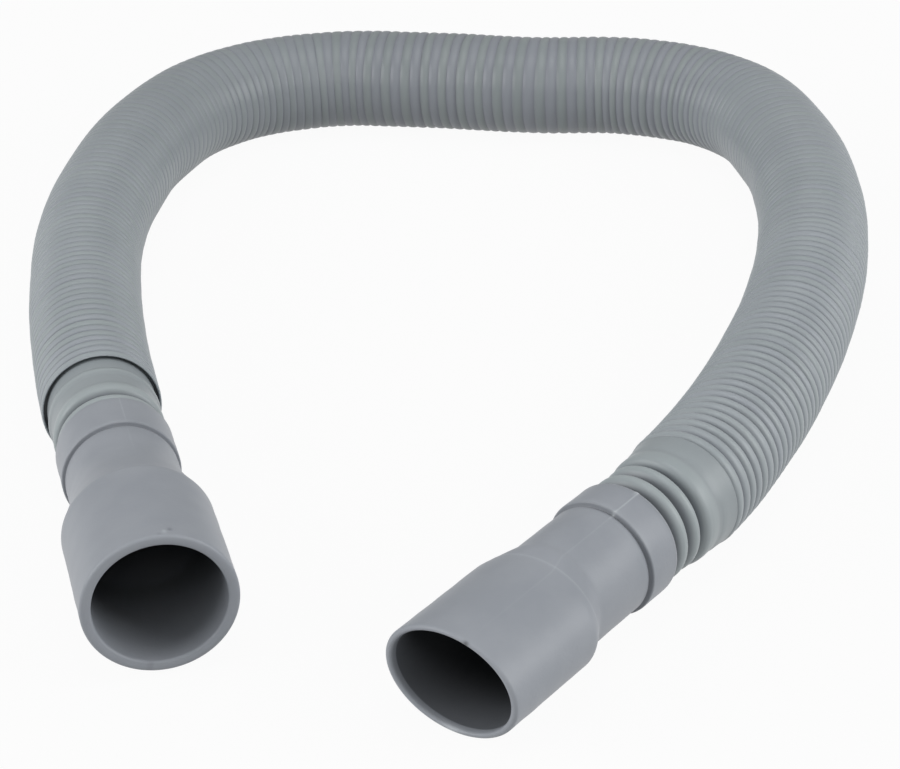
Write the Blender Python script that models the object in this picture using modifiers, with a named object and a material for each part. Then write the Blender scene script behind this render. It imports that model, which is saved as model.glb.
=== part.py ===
# An extendable drain hose: a concertina tube blown from one piece of plastic,
# with a soft connector cuff pushed over each end. It lies on the floor in a U.
import math

import bpy
from mathutils import Vector

for item in list(bpy.data.objects):
    bpy.data.objects.remove(item, do_unlink=True)

# Concertina tube, in metres
HOSE_RADIUS = 0.01125
FOLD_PITCH = 0.0045
FOLD_DEPTH = 0.0013
HOSE_WALL = 0.0006
HOSE_SIDES = 12

# Plain neck between the last fold and the cuff
NECK_RING_COUNT = 2
NECK_RING_PITCH = 0.0026
NECK_RING_RADIUS = 0.0094
RING_DEPTH = 0.0008
SHOULDER_LENGTH = 0.0039
SHOULDER_RADIUS = 0.0098
CONE_LENGTH = 0.0075
CONE_RADIUS = 0.0106
CONE_STEPS = 3

# Ringed end that is pushed into the cuff
SEAT_LENGTH = 0.0120
SEAT_RING_COUNT = 5
SEAT_RADIUS = 0.0089
SEAT_GAP = 0.0003

# What both cuffs have in common
CUFF_SIDES = 32
COLLAR_RADIUS = 0.0107
COLLAR_ROUNDING = 0.0011
THROAT_RADIUS = 0.0080
STOP_LENGTH = 0.0030
EDGE_RADIUS = 0.0005
CORNER_STEPS = 2
SHOULDER_STEPS = 6
SHOULDER_FADE = 1.45

# Each end fits another size of spigot, and the right mouth has gone oval
LEFT_CUFF = {
    "length": 0.0579,
    "collar": 0.0109,
    "mouth": 0.0253,
    "shoulder": 0.0137,
    "mouth_radius": 0.0131,
    "bore_radius": 0.0111,
    "barrel_radius": 0.0102,
    "oval": 1.0,
}
RIGHT_CUFF = {
    "length": 0.0479,
    "collar": 0.0067,
    "mouth": 0.0200,
    "shoulder": 0.0062,
    "mouth_radius": 0.0114,
    "bore_radius": 0.0101,
    "barrel_radius": 0.0100,
    "oval": 1.15,
}

# Route of the folded stretch on the floor, from the left end to the right end
ROUTE = [
    (-0.0668, -0.0340),
    (-0.0715, -0.0087),
    (-0.0747, 0.0169),
    (-0.0759, 0.0426),
    (-0.0733, 0.0682),
    (-0.0668, 0.0931),
    (-0.0530, 0.1147),
    (-0.0295, 0.1239),
    (-0.0041, 0.1207),
    (0.0209, 0.1142),
    (0.0462, 0.1097),
    (0.0662, 0.0948),
    (0.0743, 0.0704),
    (0.0759, 0.0447),
    (0.0733, 0.0191),
    (0.0675, -0.0060),
    (0.0593, -0.0304),
    (0.0491, -0.0540),
    (0.0362, -0.0764),
]
LEFT_HEADING = math.radians(-77.2)
RIGHT_HEADING = math.radians(-128.3)

NECK_LENGTH = NECK_RING_COUNT * NECK_RING_PITCH + SHOULDER_LENGTH + CONE_LENGTH
END_LENGTH = NECK_LENGTH + SEAT_LENGTH
SOCKET_RADIUS = SEAT_RADIUS + SEAT_GAP
SOCKET_LENGTH = SEAT_LENGTH + SEAT_GAP

parts = bpy.data.collections.new("drain_hose")
guides = bpy.data.collections.new("guides")
bpy.context.scene.collection.children.link(parts)
bpy.context.scene.collection.children.link(guides)


def make_material(name, colour, roughness):
    material = bpy.data.materials.new(name)
    material.use_nodes = True
    shader = material.node_tree.nodes["Principled BSDF"]
    shader.inputs["Base Color"].default_value = (*colour, 1.0)
    shader.inputs["Roughness"].default_value = roughness
    shader.inputs["Metallic"].default_value = 0.0
    return material


def add_guide(name, data):
    guide = bpy.data.objects.new(name, data)
    guide.hide_render = True
    guide.display_type = "WIRE"
    guides.objects.link(guide)
    return guide


def least_rise(reach, half_height):
    """Rise of a cuff's axis at which its underside touches the floor at this reach."""
    return math.atan2(half_height, reach) - math.asin(HOSE_RADIUS / math.hypot(reach, half_height))


def cuff_axis(heading, cuff):
    """Direction out of the mouth, which lies on its lip or on its heel."""
    lip = NECK_LENGTH + cuff["length"]
    heel = lip - cuff["mouth"]
    half_height = cuff["mouth_radius"] / cuff["oval"]
    rise = max(least_rise(lip, half_height), least_rise(heel, half_height))
    flat = math.cos(rise)
    return Vector((math.cos(heading) * flat, math.sin(heading) * flat, math.sin(rise)))


def turned_profile(name, points, axis, sides, closed):
    """A turned shape: the profile's points are (along the axis, radius)."""
    mesh = bpy.data.meshes.new(name)
    if axis == "X":
        vertices = [(along, 0.0, radius) for along, radius in reversed(points)]
    else:
        vertices = [(radius, 0.0, along) for along, radius in points]
    count = len(vertices)
    edges = [(i, i + 1) for i in range(count - 1)]
    if closed:
        edges.append((count - 1, 0))
    mesh.from_pydata(vertices, edges, [])
    turned = bpy.data.objects.new(name, mesh)
    parts.objects.link(turned)
    screw = turned.modifiers.new("turn", "SCREW")
    screw.axis = axis
    screw.steps = sides
    screw.render_steps = sides
    screw.use_merge_vertices = True
    screw.merge_threshold = 0.00001
    screw.use_smooth_shade = True
    return turned


# The concertina tube
def ring_points(start, count, pitch, crest, root):
    """Rounded rings: a root, then a crest, for each ring."""
    points = []
    for ring in range(count):
        points.append((start + ring * pitch, root))
        points.append((start + (ring + 0.5) * pitch, crest))
    return points


def end_points():
    """One moulded end, from its rim inside the cuff to the first fold."""
    seat_pitch = SEAT_LENGTH / SEAT_RING_COUNT
    points = ring_points(0.0, SEAT_RING_COUNT, seat_pitch, SEAT_RADIUS, SEAT_RADIUS - RING_DEPTH)
    neck_root = NECK_RING_RADIUS - RING_DEPTH
    points += ring_points(SEAT_LENGTH, NECK_RING_COUNT, NECK_RING_PITCH, NECK_RING_RADIUS, neck_root)
    shoulder = SEAT_LENGTH + NECK_RING_COUNT * NECK_RING_PITCH
    points.append((shoulder, neck_root))
    points.append((shoulder + 0.35 * SHOULDER_LENGTH, SHOULDER_RADIUS))
    cone = shoulder + SHOULDER_LENGTH
    for step in range(CONE_STEPS):
        share = step / CONE_STEPS
        flare = SHOULDER_RADIUS + (CONE_RADIUS - SHOULDER_RADIUS) * share ** 2
        points.append((cone + share * CONE_LENGTH, flare))
    points.append((cone + CONE_LENGTH, CONE_RADIUS))
    return points


def make_guide():
    """Centreline of the whole tube, straight where it sits in a cuff."""
    ends = []
    for point, heading, cuff in (
        (ROUTE[0], LEFT_HEADING, LEFT_CUFF),
        (ROUTE[-1], RIGHT_HEADING, RIGHT_CUFF),
    ):
        rim = Vector((*point, HOSE_RADIUS))
        axis = cuff_axis(heading, cuff)
        collar = NECK_LENGTH
        ends.append([rim + axis * (collar + share * SEAT_LENGTH) for share in (1.0, 0.5, 0.0)])
    centre = ends[0] + [Vector((*point, HOSE_RADIUS)) for point in ROUTE] + ends[1][::-1]
    curve = bpy.data.curves.new("tube_centreline", "CURVE")
    curve.dimensions = "3D"
    curve.twist_mode = "Z_UP"
    curve.resolution_u = 16
    spline = curve.splines.new("BEZIER")
    spline.bezier_points.add(len(centre) - 1)
    for knot, point in zip(spline.bezier_points, centre):
        knot.co = point
        knot.handle_left_type = "AUTO"
        knot.handle_right_type = "AUTO"
    return add_guide("tube_centreline", curve)


def make_hose(material):
    """One blown tube: moulded ends, and folds that follow the route."""
    guide = make_guide()
    length = guide.data.splines[0].calc_length()
    folded = length - 2.0 * END_LENGTH
    count = round(folded / FOLD_PITCH)
    pitch = folded / count
    end = end_points()
    points = list(end)
    for fold in range(count):
        start = END_LENGTH + fold * pitch
        points.append((start, HOSE_RADIUS))
        points.append((start + 0.5 * pitch, HOSE_RADIUS - FOLD_DEPTH))
    points.append((length - END_LENGTH, HOSE_RADIUS))
    points += [(length - along, radius) for along, radius in reversed(end)]
    hose = turned_profile("corrugated_hose", points, "X", HOSE_SIDES, False)
    hose.data.materials.append(material)
    wall = hose.modifiers.new("wall", "SOLIDIFY")
    wall.thickness = HOSE_WALL
    wall.offset = -1.0
    wall.use_rim = True
    bend = hose.modifiers.new("bend", "CURVE")
    bend.object = guide
    bend.deform_axis = "POS_X"
    return hose


# The cuffs
def rounded_corner(end, radius, size, facing):
    """Arc from the end face to the outer face; facing is 1 at the mouth, -1 at the rear."""
    points = []
    for step in range(CORNER_STEPS + 1):
        turn = step / CORNER_STEPS * math.pi / 2
        along = end - facing * size * (1.0 - math.cos(turn))
        points.append((along, radius - size * (1.0 - math.sin(turn))))
    return points


def cuff_points(cuff):
    """Outline of the cuff's wall, down its outer side and up its inner side."""
    length = cuff["length"]
    mouth = cuff["mouth_radius"]
    bore = cuff["bore_radius"]
    barrel = cuff["barrel_radius"]
    collar = cuff["collar"]
    mouth_foot = length - cuff["mouth"]
    shoulder_foot = mouth_foot - cuff["shoulder"]
    points = rounded_corner(length, mouth, EDGE_RADIUS, 1)
    for step in range(SHOULDER_STEPS + 1):
        share = step / SHOULDER_STEPS
        radius = barrel + (mouth - barrel) * (1.0 - share) ** SHOULDER_FADE
        points.append((mouth_foot - share * cuff["shoulder"], radius))
    points.append((collar, barrel))
    points.append((collar, COLLAR_RADIUS))
    points += reversed(rounded_corner(0.0, COLLAR_RADIUS, COLLAR_ROUNDING, -1))
    points.append((0.0, SOCKET_RADIUS))
    points.append((SOCKET_LENGTH, SOCKET_RADIUS))
    points.append((SOCKET_LENGTH, THROAT_RADIUS))
    points.append((max(SOCKET_LENGTH + STOP_LENGTH, shoulder_foot), THROAT_RADIUS))
    points.append((mouth_foot, bore))
    points.append((length, bore))
    return points


def squash_mouth(shell, cuff):
    """Presses the round mouth to an oval, which fades out along the shoulder."""
    cage = bpy.data.lattices.new(shell.name + "_squash")
    cage.points_u = 2
    cage.points_v = 2
    cage.points_w = SHOULDER_STEPS + 1
    cage.interpolation_type_u = "KEY_LINEAR"
    cage.interpolation_type_v = "KEY_LINEAR"
    cage.interpolation_type_w = "KEY_LINEAR"
    for level in range(SHOULDER_STEPS + 1):
        share = level / SHOULDER_STEPS
        stretch = 1.0 + (cuff["oval"] - 1.0) * share * share * (3.0 - 2.0 * share)
        for point in cage.points[4 * level:4 * level + 4]:
            point.co_deform.x = point.co.x * stretch
            point.co_deform.y = point.co.y / stretch
    spread = cage.points[-1].co - cage.points[0].co
    width = 2.0 * cuff["mouth_radius"]
    guide = add_guide(shell.name + "_squash", cage)
    guide.parent = shell
    guide.location = (0.0, 0.0, cuff["length"] - cuff["mouth"] - cuff["shoulder"] / 2)
    guide.scale = (width / spread.x, width / spread.y, cuff["shoulder"] / spread.z)
    squash = shell.modifiers.new("squash", "LATTICE")
    squash.object = guide


def make_cuff(name, cuff, rim, heading, material):
    """A cuff whose socket covers the tube's ringed end."""
    shell = turned_profile(name, cuff_points(cuff), "Z", CUFF_SIDES, True)
    shell.data.materials.append(material)
    axis = cuff_axis(heading, cuff)
    shell.location = Vector((*rim, HOSE_RADIUS)) + axis * NECK_LENGTH
    shell.rotation_mode = "QUATERNION"
    shell.rotation_quaternion = axis.to_track_quat("Z", "Y")
    if cuff["oval"] != 1.0:
        squash_mouth(shell, cuff)


blown_plastic = make_material("blown_plastic", (0.33, 0.37, 0.38), 0.45)
soft_rubber = make_material("soft_rubber", (0.33, 0.355, 0.38), 0.6)
make_hose(blown_plastic)
make_cuff("left_cuff", LEFT_CUFF, ROUTE[0], LEFT_HEADING, soft_rubber)
make_cuff("right_cuff", RIGHT_CUFF, ROUTE[-1], RIGHT_HEADING, soft_rubber)
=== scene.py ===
# Looks of an extendable drain hose: a finely folded concertina tube that lies in a U,
# with a soft moulded cuff on each end. Metres, +Z up.
import math

import bpy
import numpy as np
from mathutils import Matrix, Vector


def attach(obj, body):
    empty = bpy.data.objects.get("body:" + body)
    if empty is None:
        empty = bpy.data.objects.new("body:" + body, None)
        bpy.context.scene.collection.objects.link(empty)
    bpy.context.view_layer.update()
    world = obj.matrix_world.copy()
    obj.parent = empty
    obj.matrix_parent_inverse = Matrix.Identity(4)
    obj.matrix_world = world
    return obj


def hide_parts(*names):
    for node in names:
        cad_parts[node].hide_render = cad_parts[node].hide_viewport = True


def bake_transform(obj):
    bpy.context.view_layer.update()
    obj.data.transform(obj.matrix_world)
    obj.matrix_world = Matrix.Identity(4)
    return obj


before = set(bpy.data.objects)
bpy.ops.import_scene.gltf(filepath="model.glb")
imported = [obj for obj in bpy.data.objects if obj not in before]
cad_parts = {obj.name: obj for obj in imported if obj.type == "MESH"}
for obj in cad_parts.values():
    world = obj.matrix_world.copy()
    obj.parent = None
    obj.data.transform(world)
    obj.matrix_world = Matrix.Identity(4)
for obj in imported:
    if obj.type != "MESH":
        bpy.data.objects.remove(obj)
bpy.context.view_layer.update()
scene = bpy.context.scene

# Sizes. The cuffs, the necks and the two headings are finer readings of the same hose
# than the plain solids have, and differ from them by 2 mm at most.
HOSE_RADIUS = 0.01125
HOSE_WALL = 0.0006
SEAT_LENGTH = 0.0120
SEAT_RADIUS = 0.0088
NECK_LENGTH = 0.0170
COLLAR_RADIUS = 0.0107
LEFT_HEADING = math.radians(-77.3)
RIGHT_HEADING = math.radians(-128.7)
ROUTE = [
    (-0.0668, -0.0340),
    (-0.0715, -0.0087),
    (-0.0747, 0.0169),
    (-0.0759, 0.0426),
    (-0.0733, 0.0682),
    (-0.0668, 0.0931),
    (-0.0530, 0.1147),
    (-0.0295, 0.1239),
    (-0.0041, 0.1207),
    (0.0209, 0.1142),
    (0.0462, 0.1097),
    (0.0662, 0.0948),
    (0.0743, 0.0704),
    (0.0759, 0.0447),
    (0.0733, 0.0191),
    (0.0675, -0.0060),
    (0.0593, -0.0304),
    (0.0491, -0.0540),
    (0.0373, -0.0750),
]

# Cuffs: stations run from the collar's rear edge to the mouth
LEFT_CUFF = {
    "length": 0.0566,
    "collar": 0.0107,
    "mouth": 0.0249,
    "shoulder": 0.0139,
    "round": 1.0,
    "fade": 1.55,
    "mouth_radius": 0.01297,
    "bore_radius": 0.01105,
    "barrel_radius": 0.0102,
    "oval": 1.022,
    "lit_lip": 0.0006,
}
RIGHT_CUFF = {
    "length": 0.0494,
    "collar": 0.0077,
    "mouth": 0.0223,
    "shoulder": 0.0057,
    "round": 1.35,
    "fade": 1.0,
    "mouth_radius": 0.01125,
    "bore_radius": 0.0101,
    "barrel_radius": 0.0101,
    "oval": 1.16,
    "lit_lip": 0.0012,
}
COLLAR_ROUNDING = 0.0011
SOCKET_RADIUS = 0.0092
SOCKET_LENGTH = 0.0123
THROAT_RADIUS = 0.0080

# Camera
CAMERA_PLACE = (-0.0018, -0.4780, 0.2524)
CAMERA_PITCH = 0.49510
CAMERA_ROLL = 0.0494
CAMERA_LENS = 108.4
SENSOR_WIDTH = 36.0


def add_camera():
    camera = bpy.data.objects.new("camera", bpy.data.cameras.new("camera"))
    scene.collection.objects.link(camera)
    scene.camera = camera
    camera.data.sensor_fit = "HORIZONTAL"
    camera.data.sensor_width = SENSOR_WIDTH
    camera.data.lens = CAMERA_LENS
    tilt = Matrix.Rotation(math.pi / 2 - CAMERA_PITCH, 4, "X")
    look = tilt @ Matrix.Rotation(-CAMERA_ROLL, 4, "Z")
    camera.matrix_world = Matrix.Translation(CAMERA_PLACE) @ look


add_camera()


# Centreline
LINE_SPACING = 0.0005
LINE_SMOOTHING = 6
CURVE_STEPS = 24


def least_rise(reach, half_height):
    """Rise of a cuff's axis at which its underside touches the floor at this reach."""
    return math.atan2(half_height, reach) - math.asin(HOSE_RADIUS / math.hypot(reach, half_height))


def cuff_axis(heading, cuff):
    """Direction out of the mouth; the cuff lies on its lip, its heel or its collar."""
    lip = NECK_LENGTH + cuff["length"]
    heel = lip - cuff["mouth"]
    half_height = cuff["mouth_radius"] / cuff["oval"]
    collar_front = NECK_LENGTH + cuff["collar"]
    rise = max(
        least_rise(lip, half_height),
        least_rise(heel, half_height),
        least_rise(collar_front, COLLAR_RADIUS),
    )
    flat = math.cos(rise)
    return Vector((math.cos(heading) * flat, math.sin(heading) * flat, math.sin(rise)))


LEFT_AXIS = cuff_axis(LEFT_HEADING, LEFT_CUFF)
RIGHT_AXIS = cuff_axis(RIGHT_HEADING, RIGHT_CUFF)


def centreline():
    """Points along the tube's middle, from the left seat to the right seat."""
    ends = []
    for point, axis in ((ROUTE[0], LEFT_AXIS), (ROUTE[-1], RIGHT_AXIS)):
        rim = Vector((*point, HOSE_RADIUS))
        reaches = [NECK_LENGTH + share * SEAT_LENGTH for share in (1.0, 0.5, 0.0)]
        ends.append([rim + axis * reach for reach in reaches])
    knots = ends[0] + [Vector((*point, HOSE_RADIUS)) for point in ROUTE] + ends[1][::-1]
    curve = bpy.data.curves.new("centreline", "CURVE")
    curve.dimensions = "3D"
    curve.resolution_u = CURVE_STEPS
    spline = curve.splines.new("BEZIER")
    spline.bezier_points.add(len(knots) - 1)
    for knot, point in zip(spline.bezier_points, knots):
        knot.co = point
        knot.handle_left_type = "AUTO"
        knot.handle_right_type = "AUTO"
    holder = bpy.data.objects.new("centreline", curve)
    scene.collection.objects.link(holder)
    bpy.context.view_layer.update()
    mesh = holder.to_mesh()
    points = np.array([vertex.co for vertex in mesh.vertices])
    holder.to_mesh_clear()
    bpy.data.objects.remove(holder, do_unlink=True)
    bpy.data.curves.remove(curve)
    return points


def even_points(points, spacing):
    """Places along the line about one spacing apart, and its points there."""
    steps = np.linalg.norm(np.diff(points, axis=0), axis=1)
    along = np.concatenate([[0.0], np.cumsum(steps)])
    count = int(round(along[-1] / spacing)) + 1
    even = np.linspace(0.0, along[-1], count)
    return even, np.stack([np.interp(even, along, points[:, i]) for i in range(3)], axis=1)


def bell_weights(half, reach):
    """Weights of a running mean; they add up to 1."""
    weights = np.exp(-0.5 * (np.arange(-half, half + 1) / reach) ** 2)
    return weights / weights.sum()


def smoothed(points, reach):
    """Rounds off the small changes of curvature between the knots; the ends stay."""
    half = 3 * reach
    weights = bell_weights(half, reach)
    padded = np.concatenate([
        2 * points[0] - points[half:0:-1],
        points,
        2 * points[-1] - points[-2:-half - 2:-1],
    ])
    return np.stack([np.convolve(padded[:, i], weights, mode="valid") for i in range(3)], axis=1)


ALONG, LINE = even_points(centreline(), LINE_SPACING)
LINE = smoothed(LINE, LINE_SMOOTHING)
LENGTH = ALONG[-1]
TANGENT = np.gradient(LINE, axis=0)
TANGENT /= np.linalg.norm(TANGENT, axis=1)[:, None]
SIDE = np.cross([0.0, 0.0, 1.0], TANGENT)
SIDE /= np.linalg.norm(SIDE, axis=1)[:, None]
UP = np.cross(TANGENT, SIDE)
LEFT_RIM = SEAT_LENGTH + NECK_LENGTH
RIGHT_RIM = LENGTH - LEFT_RIM


def at(along, rows):
    """The line's points or directions at places along it."""
    return np.stack([np.interp(along, ALONG, rows[:, i]) for i in range(3)], axis=1)


# Mesh building
def mesh_object(name, vertices, faces, material, paint):
    """Paint holds named values per vertex, which the materials read."""
    mesh = bpy.data.meshes.new(name)
    mesh.from_pydata(vertices, [], faces)
    mesh.update()
    made = bpy.data.objects.new(name, mesh)
    scene.collection.objects.link(made)
    mesh.shade_smooth()
    mesh.materials.append(material)
    for key, values in paint.items():
        layer = mesh.attributes.new(key, "FLOAT", "POINT")
        layer.data.foreach_set("value", np.asarray(values, dtype=np.float32).ravel())
    return made


def ring_faces(rings, segments):
    """Quads between neighbouring rings, and from the last ring to the first."""
    faces = []
    for ring in range(rings):
        a = ring * segments
        b = (ring + 1) % rings * segments
        for i in range(segments):
            j = (i + 1) % segments
            faces.append((a + i, a + j, b + j, b + i))
    return faces


HOSE_SEGMENTS = 64
HOSE_TURN = np.arange(HOSE_SEGMENTS) / HOSE_SEGMENTS * 2 * math.pi


def tube_vertices(profile, shift):
    """Rings round the centreline: profile rows start with (place along it, radius)."""
    place = profile[:, 0][:, None] + shift[0]
    size = profile[:, 1][:, None] + shift[1]
    flat = place.ravel()
    centre = at(flat, LINE).reshape(*place.shape, 3)
    side = at(flat, SIDE).reshape(*place.shape, 3)
    up = at(flat, UP).reshape(*place.shape, 3)
    out = side * np.cos(HOSE_TURN)[None, :, None] + up * np.sin(HOSE_TURN)[None, :, None]
    return (centre + out * size[:, :, None]).reshape(-1, 3)


# Folds: stations are shares of a fold from one groove to the next. The tables give values
# at places counted in metres from the left rim: depths in hundredths of a millimetre,
# widths in thousandths of a fold, tints and tones in hundredths.
FOLD_PITCH = 0.00225
FOLD_STATIONS = (0.0, 0.05, 0.13, 0.28, 0.5, 0.72, 0.87, 0.95)
PLACE_KEYS = (
    0.000, 0.012, 0.060, 0.095, 0.130, 0.170, 0.200, 0.270, 0.295, 0.325, 0.350, 0.385, 0.464,
)
CREST_DEPTH = (40, 34, 28, 20, 8, 10, 18, 18, 8, 10, 24, 34, 44)
GROOVE_DEPTH = (60, 50, 38, 24, 10, 8, 8, 9, 10, 12, 24, 34, 52)
GROOVE_WIDTH = (80, 75, 70, 65, 60, 90, 160, 160, 90, 60, 75, 90, 105)
BAND_TINT = (20, 20, 15, 10, 10, 14, 32, 32, 14, 10, 12, 12, 10)
# Painted shade, in hundredths of tone, on the inside of the left bend and along the back run
SHADED_RUN = (0, 0, 0, 2, 7, 12, 18, 12, 0, 0, 0, 0, 0)
DEPTH_UNIT = 1e-5
WIDTH_UNIT = 1e-3
SHADE_UNIT = 1e-2
# Grooves that gape: number of the groove and its extra depth
OPEN_GROOVES = {7: 0.0008, 15: 0.0002, 26: 0.00015, 92: 0.00008, 96: 0.00006}

# How much the folds differ from each other
WIDTH_SPREAD = 0.04
GROOVE_SPREAD = 0.16
CREST_SPREAD = 0.10
TINT_SPREAD = 0.06
rng = np.random.default_rng(7)

# Tone darkens the plastic from 0 to 1, tint turns it from green to blue. A rounded crest
# gets a painted highlight, lighter by the crest highlight below where it is FULL_CREST deep,
# and a groove gets painted shade, darker by its depth over the full groove shade depth
# below, and bluer.
PLAIN_TONE = 0.14
DARKEST_FOLD = 0.62
CREST_HIGHLIGHT = 0.16
FULL_CREST = 0.0005
FULL_GROOVE_SHADE = 0.0022
FOLD_TINT = 0.35
GROOVE_SHADE_TINT = 0.5


def key_value(place, values, unit):
    return float(np.interp(place, PLACE_KEYS, values)) * unit


def fold_profile():
    """Rows of (place, radius, tone, tint) from rim to rim, with small irregularities."""
    folded = RIGHT_RIM - LEFT_RIM
    count = int(round(folded / FOLD_PITCH))
    widths = 1.0 + rng.normal(0.0, WIDTH_SPREAD, count)
    starts = np.concatenate([[0.0], np.cumsum(widths)])
    starts *= folded / starts[-1]
    grooves = []
    for fold, start in enumerate(starts):
        uneven = 1.0 + rng.normal(0.0, GROOVE_SPREAD)
        groove = key_value(start, GROOVE_DEPTH, DEPTH_UNIT) * uneven
        grooves.append(groove + OPEN_GROOVES.get(fold, 0.0))
    grooves[0] = 0.0
    rows = []
    for fold in range(count):
        low, high = starts[fold], starts[fold + 1]
        middle = (low + high) / 2
        uneven = 1.0 + rng.normal(0.0, CREST_SPREAD)
        crest = key_value(middle, CREST_DEPTH, DEPTH_UNIT) * uneven
        width = key_value(middle, GROOVE_WIDTH, WIDTH_UNIT)
        shade = key_value(middle, SHADED_RUN, SHADE_UNIT)
        band = key_value(middle, BAND_TINT, SHADE_UNIT) * (1.0 if fold % 2 else -1.0)
        band += rng.normal(0.0, TINT_SPREAD)
        for share in FOLD_STATIONS:
            nearest = 0 if share < 0.5 else 1
            gap = min(share, 1.0 - share)
            pinch = math.exp(-(gap / width) ** 2)
            groove = grooves[fold + nearest] * pinch
            drop = (2.0 * share - 1.0) ** 2
            radius = HOSE_RADIUS - (crest * drop + groove)
            # Painted highlight on the crest; painted shade and a bluer tint in the groove
            tone = PLAIN_TONE + shade - CREST_HIGHLIGHT * (1.0 - drop) * crest / FULL_CREST
            tone = max(0.0, min(DARKEST_FOLD, tone + groove / FULL_GROOVE_SHADE))
            tint = min(1.0, max(0.0, FOLD_TINT + band + GROOVE_SHADE_TINT * pinch))
            rows.append((LEFT_RIM + low + share * (high - low), radius, tone, tint))
    return rows


# Necks: stations are (distance from the rim towards the cuff, radius), and the highlight
# tables are (distance, how pale): a painted highlight on the rounded crests, also greener
# The seat inside the cuff is painted dark as shade, darkest at its ring roots
SEAT_RINGS = 5
SEAT_RING_DEPTH = 0.0008
SEAT_ROOT_SHADE = 0.5
SEAT_CREST_SHADE = 0.3
SEAT_TINT = 0.5
NECK_STEPS = 115
NECK_SMOOTHING = 4
# A neck is painted darker and bluer as shade where it dips below this radius into a deep groove
NECK_SHADE_RADIUS = 0.0097
NECK_SHADE_DEPTH = 0.0009
NECK_SHADE_TONE = 0.50
NECK_TINT = 0.30
HIGHLIGHT_TINT = 0.2
DEEP_SHADE_TINT = 0.4


def neck_profile(stations, highlights):
    """Rows of (place, radius, tone, tint) from the seat inside the cuff to the first fold."""
    rows = []
    for ring in range(SEAT_RINGS):
        start = ring * SEAT_LENGTH / SEAT_RINGS
        crest = start + SEAT_LENGTH / (2 * SEAT_RINGS)
        rows.append((start, SEAT_RADIUS - SEAT_RING_DEPTH, SEAT_ROOT_SHADE, SEAT_TINT))
        rows.append((crest, SEAT_RADIUS, SEAT_CREST_SHADE, SEAT_TINT))
    reach, radius = np.array(stations).T
    back = np.linspace(reach[0], reach[-1], NECK_STEPS + 1)
    dense = np.interp(-back, -reach, radius)
    padded = np.concatenate([[dense[0]] * NECK_SMOOTHING, dense, [dense[-1]] * NECK_SMOOTHING])
    dense = np.convolve(padded, bell_weights(NECK_SMOOTHING, 1.0), mode="valid")
    highlight_reach, highlight_strength = np.array(highlights).T
    glow = np.interp(-back, -highlight_reach, highlight_strength)
    for distance, size, light in zip(back, dense, glow):
        # Painted shade, darker and bluer, where the neck dips into a deep groove, and a painted
        # highlight on its crests
        deep = min(1.0, max(0.0, (NECK_SHADE_RADIUS - size) / NECK_SHADE_DEPTH))
        tone = PLAIN_TONE * (1.0 - light) * (1.0 - deep) + NECK_SHADE_TONE * deep
        tint = NECK_TINT - HIGHLIGHT_TINT * light + DEEP_SHADE_TINT * deep
        rows.append((LEFT_RIM - distance, size, tone, tint))
    return rows


LEFT_NECK = [
    (0.0170, 0.00930), (0.0167, 0.0098), (0.0162, 0.01010), (0.0153, 0.01015), (0.0148, 0.0099),
    (0.0145, 0.0093), (0.0142, 0.0085), (0.0137, 0.0082), (0.0132, 0.0085), (0.0129, 0.0095),
    (0.0126, 0.0100), (0.0119, 0.0103), (0.0110, 0.01035), (0.0100, 0.01015), (0.0092, 0.01000),
    (0.0080, 0.01000), (0.0062, 0.01010), (0.0055, 0.01035), (0.0047, 0.01050),
    (0.0041, 0.01035), (0.0034, 0.01015), (0.0020, 0.01015), (0.0, 0.01020),
]
LEFT_PAINTED_HIGHLIGHT = [
    (0.0170, 0.3), (0.0162, 1.0), (0.0153, 0.9), (0.0148, 0.2), (0.0128, 0.4), (0.0122, 1.0),
    (0.0108, 1.0), (0.0098, 0.1), (0.0056, 0.1), (0.0050, 0.8), (0.0042, 0.8), (0.0036, 0.1),
    (0.0, 0.0),
]
RIGHT_NECK = [
    (0.0170, 0.0090), (0.0167, 0.0083), (0.0160, 0.0083), (0.0156, 0.0087), (0.0153, 0.0093),
    (0.0149, 0.0098), (0.0142, 0.0101), (0.0134, 0.0101), (0.0130, 0.00985), (0.0127, 0.0093),
    (0.0125, 0.0084), (0.0120, 0.0082), (0.0117, 0.0086), (0.0114, 0.0092), (0.0110, 0.0098),
    (0.0104, 0.0101), (0.0097, 0.0101), (0.0094, 0.00985), (0.0092, 0.0093), (0.0090, 0.0084),
    (0.0086, 0.0083), (0.0083, 0.0088), (0.0081, 0.0096), (0.0078, 0.0102), (0.0072, 0.01054),
    (0.0062, 0.01060), (0.0052, 0.01056), (0.0045, 0.01048), (0.0040, 0.01052),
    (0.0034, 0.01066), (0.0028, 0.01074), (0.0018, 0.01080), (0.0004, 0.01094), (0.0, 0.0110),
]
RIGHT_PAINTED_HIGHLIGHT = [
    (0.0170, 0.0), (0.0149, 0.3), (0.0141, 1.0), (0.0131, 1.0), (0.0125, 0.0), (0.0113, 0.3),
    (0.0104, 1.0), (0.0095, 1.0), (0.0088, 0.0), (0.0080, 0.5), (0.0068, 0.8), (0.0054, 0.8),
    (0.0046, 0.1), (0.0032, 0.3), (0.0, 0.0),
]
# The last fold stands out over the left neck like a short skirt: place, radius and tone; the tone
# is painted shade on the neck under the skirt
OVERHANG = [
    (0.0003, 0.01020, 0.12), (0.0008, 0.01022, 0.42), (0.0012, 0.01030, 0.52),
    (0.0013, 0.01042, 0.54), (0.0011, 0.01056, 0.54), (0.0006, 0.01070, 0.46),
    (0.0001, 0.01079, 0.15), (-0.0002, 0.01091, 0.0), (-0.0002, 0.01106, 0.0),
    (-0.0001, 0.01117, 0.0),
]
OVERHANG_TINT = 0.4


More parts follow.
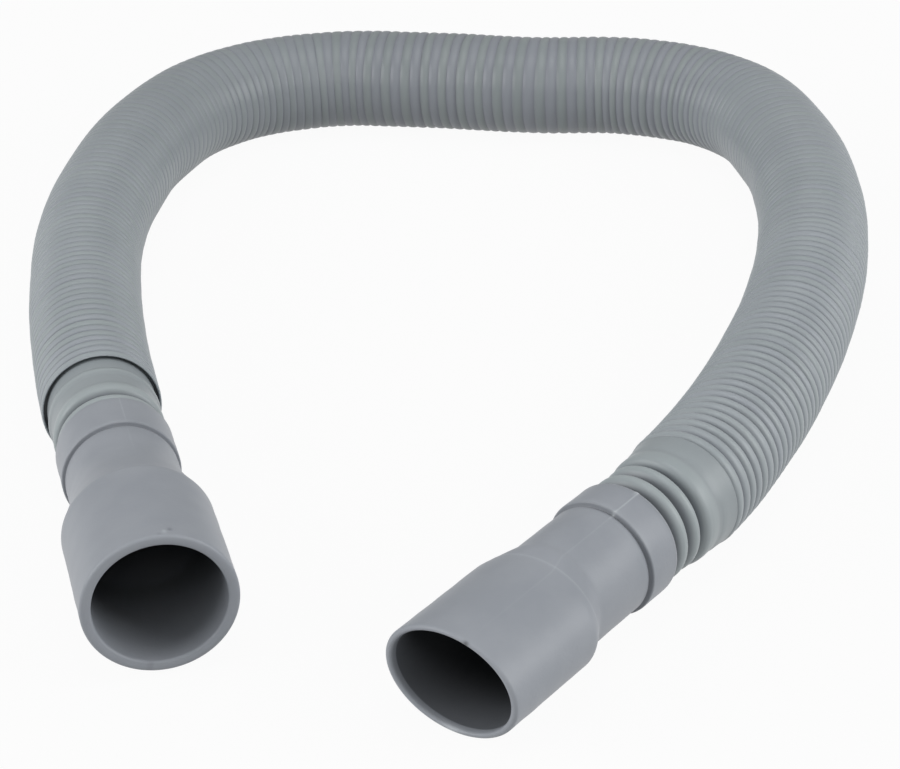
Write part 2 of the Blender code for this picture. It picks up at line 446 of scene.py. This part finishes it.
def outer_profile():
    """The whole outer side of the tube, from the left seat to the right seat."""
    left = neck_profile(LEFT_NECK, LEFT_PAINTED_HIGHLIGHT)
    overhang = [
        (LEFT_RIM + place, radius, tone, OVERHANG_TINT) for place, radius, tone in OVERHANG
    ]
    right = [(LENGTH - row[0], *row[1:]) for row in neck_profile(RIGHT_NECK, RIGHT_PAINTED_HIGHLIGHT)]
    return np.array(left + overhang + fold_profile()[1:] + right[::-1])


OUTER = outer_profile()

# The folds' slow waves, the inside of the wall and the cords' paths
WAVES = 5
WAVE_LENGTH = 0.010
WAVE_LENGTH_STEP = 0.012
WAVE_FADE = 0.006
LEAN_HEIGHT = 0.00008
BULGE_HEIGHT = 0.00002
INNER_REACH = 0.0018
# The inside of the hose is painted nearly black as shade
INNER_SHADE = 1.0
INNER_TINT = 0.5
PATH_POINTS = 140


def ring_shifts(places):
    """Slow leaning and bulging of the folds, per ring and per segment."""
    lean = np.zeros((len(places), HOSE_SEGMENTS))
    bulge = np.zeros((len(places), HOSE_SEGMENTS))
    from_left = np.clip((places - LEFT_RIM) / WAVE_FADE, 0, 1)
    inside = from_left * np.clip((RIGHT_RIM - places) / WAVE_FADE, 0, 1)
    for wave in range(WAVES):
        length = WAVE_LENGTH + WAVE_LENGTH_STEP * wave
        phase = (2 * math.pi * places / length + 1.7 * wave)[:, None]
        lean += LEAN_HEIGHT * np.sin(phase) * np.cos(HOSE_TURN - 0.9 * wave)[None, :]
        bulge += BULGE_HEIGHT * np.cos(phase) * np.cos(2 * HOSE_TURN + 1.3 * wave)[None, :]
    return lean * inside[:, None], bulge * inside[:, None]


def inner_wall(first_place, last_place):
    """The inside of the wall, clear of the deepest groove next to it, painted dark as shade."""
    places = np.append(np.arange(first_place, last_place, FOLD_PITCH), last_place)
    near = np.abs(places[:, None] - OUTER[:, 0][None, :]) < INNER_REACH
    least = np.where(near, OUTER[:, 1][None, :], 1.0).min(axis=1)
    tone = np.full(len(places), INNER_SHADE)
    tint = np.full(len(places), INNER_TINT)
    return np.stack([places, least - HOSE_WALL, tone, tint], axis=1)


def make_hose(name, first, last, material):
    """The stretch between two rings of the outer profile, with its inner wall and its path."""
    outer = OUTER[first:last + 1]
    profile = np.concatenate([outer, inner_wall(outer[0, 0], outer[-1, 0])[::-1]])
    vertices = tube_vertices(profile, ring_shifts(profile[:, 0]))
    faces = ring_faces(len(profile), HOSE_SEGMENTS)
    paint = {
        "tone": np.repeat(profile[:, 2], HOSE_SEGMENTS),
        "tint": np.repeat(profile[:, 3], HOSE_SEGMENTS),
    }
    made = mesh_object(name, vertices, faces, material, paint)
    path = at(np.linspace(outer[0, 0], outer[-1, 0], PATH_POINTS), LINE)
    return made, path


# Materials: colours are (low, high) of their clouds, shades are (tone, grey)
HOSE_GREEN = ((0.312, 0.354, 0.362), (0.348, 0.390, 0.396))
HOSE_BLUE = (0.330, 0.350, 0.398)
HOSE_SHADES = ((0.0, 1.0), (PLAIN_TONE, 0.84), (DARKEST_FOLD, 0.34), (1.0, 0.05))
CUFF_GREY = ((0.276, 0.296, 0.328), (0.304, 0.323, 0.355))
CUFF_PALE = (0.47, 0.50, 0.53)
CUFF_SHADES = ((0.0, 1.0), (0.5, 0.40), (1.0, 0.03))
CLOUD_START = 0.35
CLOUD_END = 0.68
SMOOTHER = 0.06
ROUGHER = 0.08
GRAIN_DISTANCE = 0.0001


def node(tree, kind, **inputs):
    made = tree.nodes.new(kind)
    for key, value in inputs.items():
        made.inputs[key].default_value = value
    return made


def ramp(tree, low, high, start, end):
    made = tree.nodes.new("ShaderNodeValToRGB")
    made.color_ramp.elements[0].color = (*low, 1.0)
    made.color_ramp.elements[1].color = (*high, 1.0)
    made.color_ramp.elements[0].position = start
    made.color_ramp.elements[1].position = end
    return made


def link_grain(tree, place, scale, strength):
    """Fine moulded grain as a bump."""
    grain = node(tree, "ShaderNodeTexNoise", Scale=scale, Detail=2.0, Roughness=0.6)
    bump = node(tree, "ShaderNodeBump", Strength=strength, Distance=GRAIN_DISTANCE)
    tree.links.new(place.outputs["Object"], grain.inputs["Vector"])
    tree.links.new(grain.outputs["Fac"], bump.inputs["Height"])
    tree.links.new(bump.outputs["Normal"], tree.nodes["Principled BSDF"].inputs["Normal"])


def painted(tree, key):
    """Output of the values that mesh_object painted under this name."""
    made = tree.nodes.new("ShaderNodeAttribute")
    made.attribute_name = key
    return made.outputs["Fac"]


def mix(tree, factor, output, colour):
    """Mix from a colour output to a plain colour."""
    made = tree.nodes.new("ShaderNodeMix")
    made.data_type = "RGBA"
    made.inputs[7].default_value = (*colour, 1.0)
    tree.links.new(factor, made.inputs[0])
    tree.links.new(output, made.inputs[6])
    return made.outputs[2]


def shade_steps(tree, factor, steps):
    """Ramp through several greys, used to paint shade into grooves and the inside, and highlights
    on crests.
    """
    made = tree.nodes.new("ShaderNodeValToRGB")
    while len(made.color_ramp.elements) < len(steps):
        made.color_ramp.elements.new(0.5)
    for element, (place, grey) in zip(made.color_ramp.elements, steps):
        element.position = place
        element.color = (grey, grey, grey, 1.0)
    tree.links.new(factor, made.inputs["Fac"])
    return made.outputs["Color"]


def times(tree, first, second):
    """Product of two colour outputs."""
    made = tree.nodes.new("ShaderNodeMix")
    made.data_type = "RGBA"
    made.blend_type = "MULTIPLY"
    made.inputs[0].default_value = 1.0
    tree.links.new(first, made.inputs[6])
    tree.links.new(second, made.inputs[7])
    return made.outputs[2]


def plastic(name, colours, cloud_scale, roughness, specular):
    """A plastic with faint clouds of colour and uneven roughness; gives the colour back."""
    material = bpy.data.materials.new(name)
    material.use_nodes = True
    tree = material.node_tree
    shader = tree.nodes["Principled BSDF"]
    place = tree.nodes.new("ShaderNodeTexCoord")
    cloud = node(tree, "ShaderNodeTexNoise", Scale=cloud_scale, Detail=3.0, Roughness=0.55)
    tint = ramp(tree, *colours, CLOUD_START, CLOUD_END)
    rough = tree.nodes.new("ShaderNodeMapRange")
    rough.inputs["To Min"].default_value = roughness - SMOOTHER
    rough.inputs["To Max"].default_value = roughness + ROUGHER
    tree.links.new(place.outputs["Object"], cloud.inputs["Vector"])
    tree.links.new(cloud.outputs["Fac"], tint.inputs["Fac"])
    tree.links.new(cloud.outputs["Fac"], rough.inputs["Value"])
    tree.links.new(rough.outputs["Result"], shader.inputs["Roughness"])
    shader.inputs["Specular IOR Level"].default_value = specular
    return material, tree, place, tint.outputs["Color"]


def hose_plastic():
    material, tree, place, green = plastic("blown_plastic", HOSE_GREEN, 60.0, 0.40, 0.45)
    # Tint and tone carry the painted shade and painted highlights of the folds, necks and inside
    colour = mix(tree, painted(tree, "tint"), green, HOSE_BLUE)
    dark = shade_steps(tree, painted(tree, "tone"), HOSE_SHADES)
    shader = tree.nodes["Principled BSDF"]
    tree.links.new(times(tree, colour, dark), shader.inputs["Base Color"])
    link_grain(tree, place, 900.0, 0.12)
    return material


def cuff_rubber():
    material, tree, place, grey = plastic("soft_rubber", CUFF_GREY, 90.0, 0.42, 0.40)
    # Pale carries the seams, marks and painted highlights; tone carries the dark marks and painted
    # shade
    colour = mix(tree, painted(tree, "pale"), grey, CUFF_PALE)
    dark = shade_steps(tree, painted(tree, "tone"), CUFF_SHADES)
    shader = tree.nodes["Principled BSDF"]
    tree.links.new(times(tree, colour, dark), shader.inputs["Base Color"])
    link_grain(tree, place, 1600.0, 0.22)
    return material


hose_material = hose_plastic()
cuff_material = cuff_rubber()

# The tube in two pieces that meet in a groove where the back run begins
SPLIT_POINT = (-0.0295, 0.1239)
split_distance = np.linalg.norm(LINE[:, :2] - np.array(SPLIT_POINT), axis=1)
split_place = ALONG[np.argmin(split_distance)]
near_split = np.abs(OUTER[:, 0] - split_place) < FOLD_PITCH / 2
split_ring = int(np.argmin(np.where(near_split, OUTER[:, 1], 1.0)))
hose_left, left_path = make_hose("hose_left", 0, split_ring, hose_material)
hose_right, right_path = make_hose("hose_right", split_ring, len(OUTER) - 1, hose_material)
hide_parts("corrugated_hose")
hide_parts("corrugated_hose")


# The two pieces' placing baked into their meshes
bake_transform(hose_left)
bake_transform(hose_right)


# Cuffs
def arc(end, radius, size, facing, steps):
    """Rounded corner from the end face to the outer face; facing is 1 at the mouth, else -1."""
    points = []
    for step in range(steps + 1):
        turn = step / steps * math.pi / 2
        along = end - facing * size * (1.0 - math.cos(turn))
        points.append((along, radius - size * (1.0 - math.sin(turn))))
    return points


def spread(points, step):
    """Extra points on long straight stretches of an outline."""
    dense = []
    for a, b in zip(points, points[1:]):
        parts = max(1, int(math.hypot(b[0] - a[0], b[1] - a[1]) / step))
        for i in range(parts):
            share = i / parts
            dense.append((a[0] + (b[0] - a[0]) * share, a[1] + (b[1] - a[1]) * share))
    return dense + [points[-1]]


LIP_ROUND = 0.00060
LIP_STEPS = 6
LIP_INNER = 0.00055
# The bore's flare inside the lip: share of that length still to go, and added radius
LIP_FLARE = ((0.35, 0.00012), (0.0, 0.00040))
LIT_EDGE = 0.00025
SHOULDER_STEPS = 24
COLLAR_STEPS = 8
# The undercut beside the collar: shares of its length and of its depth
UNDERCUT_DEPTH = 0.00030
UNDERCUT_LENGTH = 0.0009
UNDERCUT = ((1.0, 0.0), (0.6, 0.3), (0.25, 0.9), (0.05, 1.0))
UNDERCUT_FOOT = 0.7
# The collar's front edge: distances behind its face and below its surface
COLLAR_FACE = 0.00004
COLLAR_EDGE = ((COLLAR_FACE, 0.00034), (0.00010, 0.00014), (0.00026, 0.00003), (0.00045, 0.0))
SOCKET_BEVEL = 0.0002
STOP_LENGTH = 0.003
OUTER_STEP = 0.0008
INNER_STEP = 0.0012


def cuff_outline(cuff):
    """Outline down the outer side from the mouth and up the inner side."""
    length = cuff["length"]
    mouth = cuff["mouth_radius"]
    bore = cuff["bore_radius"]
    barrel = cuff["barrel_radius"]
    collar = cuff["collar"]
    foot = length - cuff["mouth"]
    shoulder_foot = foot - cuff["shoulder"]
    outer = arc(length, mouth, LIP_ROUND, 1, LIP_STEPS)
    for step in range(SHOULDER_STEPS + 1):
        share = step / SHOULDER_STEPS
        swell = (1.0 - share ** cuff["round"]) ** cuff["fade"]
        outer.append((foot - share * cuff["shoulder"], barrel + (mouth - barrel) * swell))
    for share, depth in UNDERCUT:
        outer.append((collar + share * UNDERCUT_LENGTH, barrel - depth * UNDERCUT_DEPTH))
    outer.append((collar - COLLAR_FACE, barrel - UNDERCUT_FOOT * UNDERCUT_DEPTH))
    for behind, below in COLLAR_EDGE:
        outer.append((collar - behind, COLLAR_RADIUS - below))
    outer += arc(0.0, COLLAR_RADIUS, COLLAR_ROUNDING, -1, COLLAR_STEPS)[::-1]
    inner = [
        (0.0, SOCKET_RADIUS + SOCKET_BEVEL),
        (SOCKET_BEVEL, SOCKET_RADIUS),
        (SOCKET_LENGTH, SOCKET_RADIUS),
        (SOCKET_LENGTH, THROAT_RADIUS),
        (max(SOCKET_LENGTH + STOP_LENGTH, shoulder_foot), THROAT_RADIUS),
        (foot, bore),
        (length - cuff["lit_lip"] - LIT_EDGE, bore),
        (length - cuff["lit_lip"], bore),
        (length - LIP_INNER, bore),
    ]
    for share, flare in LIP_FLARE:
        inner.append((length - share * LIP_INNER, bore + flare))
    return spread(outer, OUTER_STEP), spread(inner, INNER_STEP)


def smooth_step(value):
    value = np.clip(value, 0.0, 1.0)
    return value * value * (3.0 - 2.0 * value)


def bell(value, width):
    return np.exp(-(value / width) ** 2)


# Angles round a cuff in radians from its seam
CUFF_SEGMENTS = 144
SEAM_SEGMENTS = 48
SEAM_REACH = 0.16
SEAM_CLEAR = 0.17


def cuff_turns(seam_turn):
    """Angles round a cuff, close together next to the mould seam."""
    coarse = np.linspace(-math.pi, math.pi, CUFF_SEGMENTS + 1)[:-1]
    fine = np.linspace(-SEAM_REACH, SEAM_REACH, SEAM_SEGMENTS + 1)
    coarse = coarse[np.abs(coarse) > SEAM_CLEAR]
    return np.sort(np.concatenate([coarse, fine])) + seam_turn


# Heights, widths and strengths of what the mould and the light leave on a cuff
SEAM_HEIGHT = 0.00006
SEAM_WIDTH = 0.00013
SEAM_PALE = 0.8
RING_HEIGHT = 0.00004
RING_WIDTH = 0.00018
RING_PALE = 0.35
RIPPLES = 4
RIPPLE_HEIGHT = 0.000012
RIPPLE_LENGTH = 0.023
RIPPLE_CLEAR = 0.001
RIPPLE_FADE = 0.004
MARK_LIP = 0.0003
# Painted shade in a cuff's bore: its full tone, and how the lit part near the lip fades
DEEP_BORE_SHADE = 0.90
LIT_LEAST = 0.001
LIT_FALL = 1.5
LEAN_START = 0.012
LEAN_END = 0.016
LEAN_CLEAR = 0.002
SHARP_ANGLE = math.radians(50)


def underneath(turn):
    """1 on a cuff's underside and 0 on top."""
    return 1.0 - (0.5 + 0.5 * np.sin(turn)[None, :])


def cuff_surface(cuff, looks, outline, outside, turn):
    """Radius, tone and paleness of every point, before the cuff is pressed oval."""
    length = cuff["length"]
    collar = cuff["collar"]
    along = outline[:, 0][:, None]
    radius = outline[:, 1][:, None] + np.zeros(len(turn))
    arc_place = (turn - looks["seam_turn"])[None, :] * cuff["barrel_radius"]
    seam = bell(arc_place, SEAM_WIDTH) * outside
    seam = seam * np.interp(along, *looks["seam_keys"])
    radius += SEAM_HEIGHT * seam
    ring_line = bell(along - looks["ring_place"], RING_WIDTH) * outside * looks["ring_line"]
    radius += RING_HEIGHT * ring_line
    # Soft bands round the outside: place, width and strength. The pale ones are painted
    # highlights on the collar's front edge, the lip and the collar's rear edge; the dark ones
    # are painted shade in the undercut and in a dip near the collar's rear edge.
    highlight_bands = (
        (collar - 0.0006, 0.0004, 0.12),
        (length, 0.0004, 0.05),
        (0.0003, 0.00035, looks["rear_glint"]),
    )
    shade_bands = ((collar + 0.00014, 0.00030, 0.27), (0.0009, 0.0005, 0.05))
    pale = SEAM_PALE * seam + RING_PALE * ring_line
    for place, width, value in highlight_bands:
        pale = pale + value * bell(along - place, width) * outside
    tone = np.zeros_like(radius)
    for place, width, value in shade_bands:
        tone = tone + value * bell(along - place, width) * outside
    for place, offset, width, round_width, height, colour in looks["marks"]:
        spot = bell(along - place, width) * bell(arc_place - offset, round_width)
        spot = spot * (outside if place < length - MARK_LIP else 1.0)
        radius += height * spot
        if colour > 0:
            pale = pale + colour * spot
        else:
            tone = tone - colour * spot
    off_lip = smooth_step((length - RIPPLE_CLEAR - along) / RIPPLE_FADE)
    for wave in range(1, RIPPLES + 1):
        bend = 1.3 * wave + 2.0 * np.cos(turn * wave + wave)
        ripple = np.sin(2 * math.pi * along / (RIPPLE_LENGTH / wave) + bend)
        radius += RIPPLE_HEIGHT * ripple * outside * off_lip
    # Painted shade in the bore, as little light reaches it, least of all its upper side
    lit_reach = looks["bore_light"] * underneath(turn) ** LIT_FALL
    behind_lip = length - cuff["lit_lip"] - along
    within = smooth_step(behind_lip / (lit_reach + LIT_LEAST))
    near_dark = looks["inner_lip_shade"] * smooth_step(behind_lip / LIT_EDGE)
    tone = tone + (near_dark + (DEEP_BORE_SHADE - near_dark) * within) * (1.0 - outside)
    return radius, np.clip(tone, 0.0, 1.0), np.clip(pale, 0.0, 1.0)


def make_cuff(name, cuff, rim, axis, looks, material):
    """A moulded cuff; its outline is turned, then pressed oval and laid on its axis."""
    outer, inner = cuff_outline(cuff)
    outline = np.array(outer + inner)
    outside = np.zeros((len(outline), 1))
    outside[:len(outer)] = 1.0
    turn = cuff_turns(looks["seam_turn"])
    radius, tone, pale = cuff_surface(cuff, looks, outline, outside, turn)
    length = cuff["length"]
    along = outline[:, 0][:, None]
    shoulder_foot = length - cuff["mouth"] - cuff["shoulder"]
    stretch = 1.0 + (cuff["oval"] - 1.0) * smooth_step((along - shoulder_foot) / cuff["shoulder"])
    x = radius * np.cos(turn) * stretch
    y = radius * np.sin(turn) / stretch
    # A pressed cuff leans: its shoulder lies nearer to the mouth underneath than on top
    rise = smooth_step((along - cuff["collar"]) / LEAN_START)
    rise = rise * smooth_step((length - LEAN_CLEAR - along) / LEAN_END)
    leaning = along + looks["lean"] * underneath(turn) * rise
    shape = np.stack([x, y, leaning], axis=-1).reshape(-1, 3)
    lie = Matrix.Translation(Vector((*rim, HOSE_RADIUS)) + axis * NECK_LENGTH)
    lie = lie @ axis.to_track_quat("Z", "Y").to_matrix().to_4x4()
    vertices = shape @ np.array(lie.to_3x3()).T + np.array(lie.translation)
    faces = [face[::-1] for face in ring_faces(len(outline), len(turn))]
    made = mesh_object(name, vertices, faces, material, {"tone": tone, "pale": pale})
    made.data.set_sharp_from_angle(angle=SHARP_ANGLE)
    return made


# Looks: seam_keys are places and how strong the seam is there. Marks are nicks, nibs and
# glints: place, offset round the cuff from the seam, length, width, height and colour,
# which is pale above 0 and dark below.
LEFT_LOOKS = {
    "seam_turn": math.radians(80.0),
    "seam_keys": (
        (0.0, 0.0085, 0.0105, 0.0125, 0.018, 0.024),
        (0.28, 0.32, 0.05, 0.12, 0.12, 0.0),
    ),
    "ring_line": 0.0,
    "ring_place": 0.0326,
    "bore_light": 0.043,
    "inner_lip_shade": 0.0,
    "rear_glint": 0.0,
    "lean": 0.0,
    "marks": [
        (0.0552, 0.0002, 0.00040, 0.00030, 0.00010, 0.6),
        (0.0544, -0.0006, 0.00030, 0.00030, -0.00006, -0.30),
        (0.0558, 0.0009, 0.00025, 0.00030, 0.00004, -0.25),
        (0.0566, 0.0314, 0.00030, 0.00025, -0.00005, -0.22),
    ],
}
RIGHT_LOOKS = {
    "seam_turn": math.radians(73.0),
    "seam_keys": (
        (0.0, 0.0073, 0.0079, 0.0096, 0.026, 0.030, 0.042, 0.046),
        (0.6, 0.6, 0.7, 0.16, 0.16, 0.08, 0.05, 0.0),
    ),
    "ring_line": 0.7,
    "ring_place": 0.0252,
    "bore_light": 0.016,
    "inner_lip_shade": 0.46,
    "rear_glint": 0.40,
    "lean": 0.0018,
    "marks": [
        (0.0006, 0.0003, 0.00050, 0.00040, 0.00016, 0.9),
        (0.0076, 0.0000, 0.00035, 0.00035, 0.00010, 0.9),
        (0.0494, -0.0001, 0.00030, 0.00040, -0.00004, -0.5),
        # A painted highlight on the lip's underside, with no height
        (0.0493, -0.0290, 0.00050, 0.00150, 0.0, 0.8),
    ],
}

left_mould = make_cuff(
    "left_cuff_moulding", LEFT_CUFF, ROUTE[0], LEFT_AXIS, LEFT_LOOKS, cuff_material)
right_mould = make_cuff(
    "right_cuff_moulding", RIGHT_CUFF, ROUTE[-1], RIGHT_AXIS, RIGHT_LOOKS, cuff_material)
for mould, solid, body in (
    (left_mould, "left_cuff", "left_end"),
    (right_mould, "right_cuff", "right_end"),
):
    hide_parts(solid)
    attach(mould, body)


# Floor, light and background
FLOOR_HALF = 3.0
FLOOR_DROP = 0.0003
FLOOR_GREY = (0.50, 0.50, 0.50, 1.0)
FLOOR_GLOW = 0.95
WHITE = (1.0, 1.0, 1.0, 1.0)
WORLD_STRENGTH = 0.37
MIDDLE = Vector((0.0, 0.0, 0.0))
# Lamps: name, place, size and power
LIGHTS = (
    ("left_light", (-1.08, -0.28, 0.50), (0.8, 0.7), 7.3),
    ("right_light", (1.08, -0.28, 0.50), (0.8, 0.7), 7.4),
    ("top_light", (0.0, -0.10, 1.2), (0.8, 0.6), 3.2),
    ("front_light", (0.1, -1.2, 0.6), (0.6, 0.4), 1.4),
)


def add_floor():
    """A plain floor that keeps the shadow and looks white to the camera and in reflections."""
    mesh = bpy.data.meshes.new("floor")
    corners = [(-1, -1), (1, -1), (1, 1), (-1, 1)]
    mesh.from_pydata([(x * FLOOR_HALF, y * FLOOR_HALF, 0) for x, y in corners], [], [(0, 1, 2, 3)])
    floor = bpy.data.objects.new("floor", mesh)
    floor.location.z = -FLOOR_DROP
    scene.collection.objects.link(floor)
    material = bpy.data.materials.new("floor")
    material.use_nodes = True
    tree = material.node_tree
    shader = tree.nodes["Principled BSDF"]
    shader.inputs["Base Color"].default_value = FLOOR_GREY
    shader.inputs["Roughness"].default_value = 0.9
    shader.inputs["Specular IOR Level"].default_value = 0.1
    output = tree.nodes["Material Output"]
    rays = tree.nodes.new("ShaderNodeLightPath")
    seen = tree.nodes.new("ShaderNodeMath")
    seen.operation = "MAXIMUM"
    through = tree.nodes.new("ShaderNodeMath")
    through.operation = "MAXIMUM"
    glow = node(tree, "ShaderNodeEmission", Color=WHITE, Strength=1.0)
    mixed = tree.nodes.new("ShaderNodeMixShader")
    share = tree.nodes.new("ShaderNodeMath")
    share.operation = "MULTIPLY"
    share.inputs[1].default_value = FLOOR_GLOW
    tree.links.new(rays.outputs["Is Camera Ray"], seen.inputs[0])
    tree.links.new(rays.outputs["Is Glossy Ray"], seen.inputs[1])
    tree.links.new(seen.outputs[0], through.inputs[0])
    tree.links.new(rays.outputs["Is Transmission Ray"], through.inputs[1])
    tree.links.new(through.outputs[0], share.inputs[0])
    tree.links.new(share.outputs[0], mixed.inputs["Fac"])
    tree.links.new(shader.outputs[0], mixed.inputs[1])
    tree.links.new(glow.outputs[0], mixed.inputs[2])
    tree.links.new(mixed.outputs[0], output.inputs["Surface"])
    mesh.materials.append(material)


def add_area(name, place, size, power):
    """A soft lamp that points at the middle of the hose."""
    light = bpy.data.lights.new(name, "AREA")
    light.shape = "RECTANGLE"
    light.size = size[0]
    light.size_y = size[1]
    light.energy = power
    lamp = bpy.data.objects.new(name, light)
    scene.collection.objects.link(lamp)
    lamp.location = place
    lamp.rotation_euler = (MIDDLE - Vector(place)).to_track_quat("-Z", "Y").to_euler()


def add_world(strength):
    """Plain light from all sides, and white behind the floor's edge."""
    world = bpy.data.worlds.new("studio")
    scene.world = world
    world.use_nodes = True
    tree = world.node_tree
    back = tree.nodes["Background"]
    back.inputs["Color"].default_value = WHITE
    rays = tree.nodes.new("ShaderNodeLightPath")
    white = tree.nodes.new("ShaderNodeBackground")
    white.inputs["Color"].default_value = WHITE
    white.inputs["Strength"].default_value = 1.0
    back.inputs["Strength"].default_value = strength
    mixed = tree.nodes.new("ShaderNodeMixShader")
    tree.links.new(rays.outputs["Is Camera Ray"], mixed.inputs["Fac"])
    tree.links.new(back.outputs[0], mixed.inputs[1])
    tree.links.new(white.outputs[0], mixed.inputs[2])
    tree.links.new(mixed.outputs[0], tree.nodes["World Output"].inputs["Surface"])


add_floor()
add_world(WORLD_STRENGTH)
for light in LIGHTS:
    add_area(*light)
scene.view_settings.view_transform = "Standard"
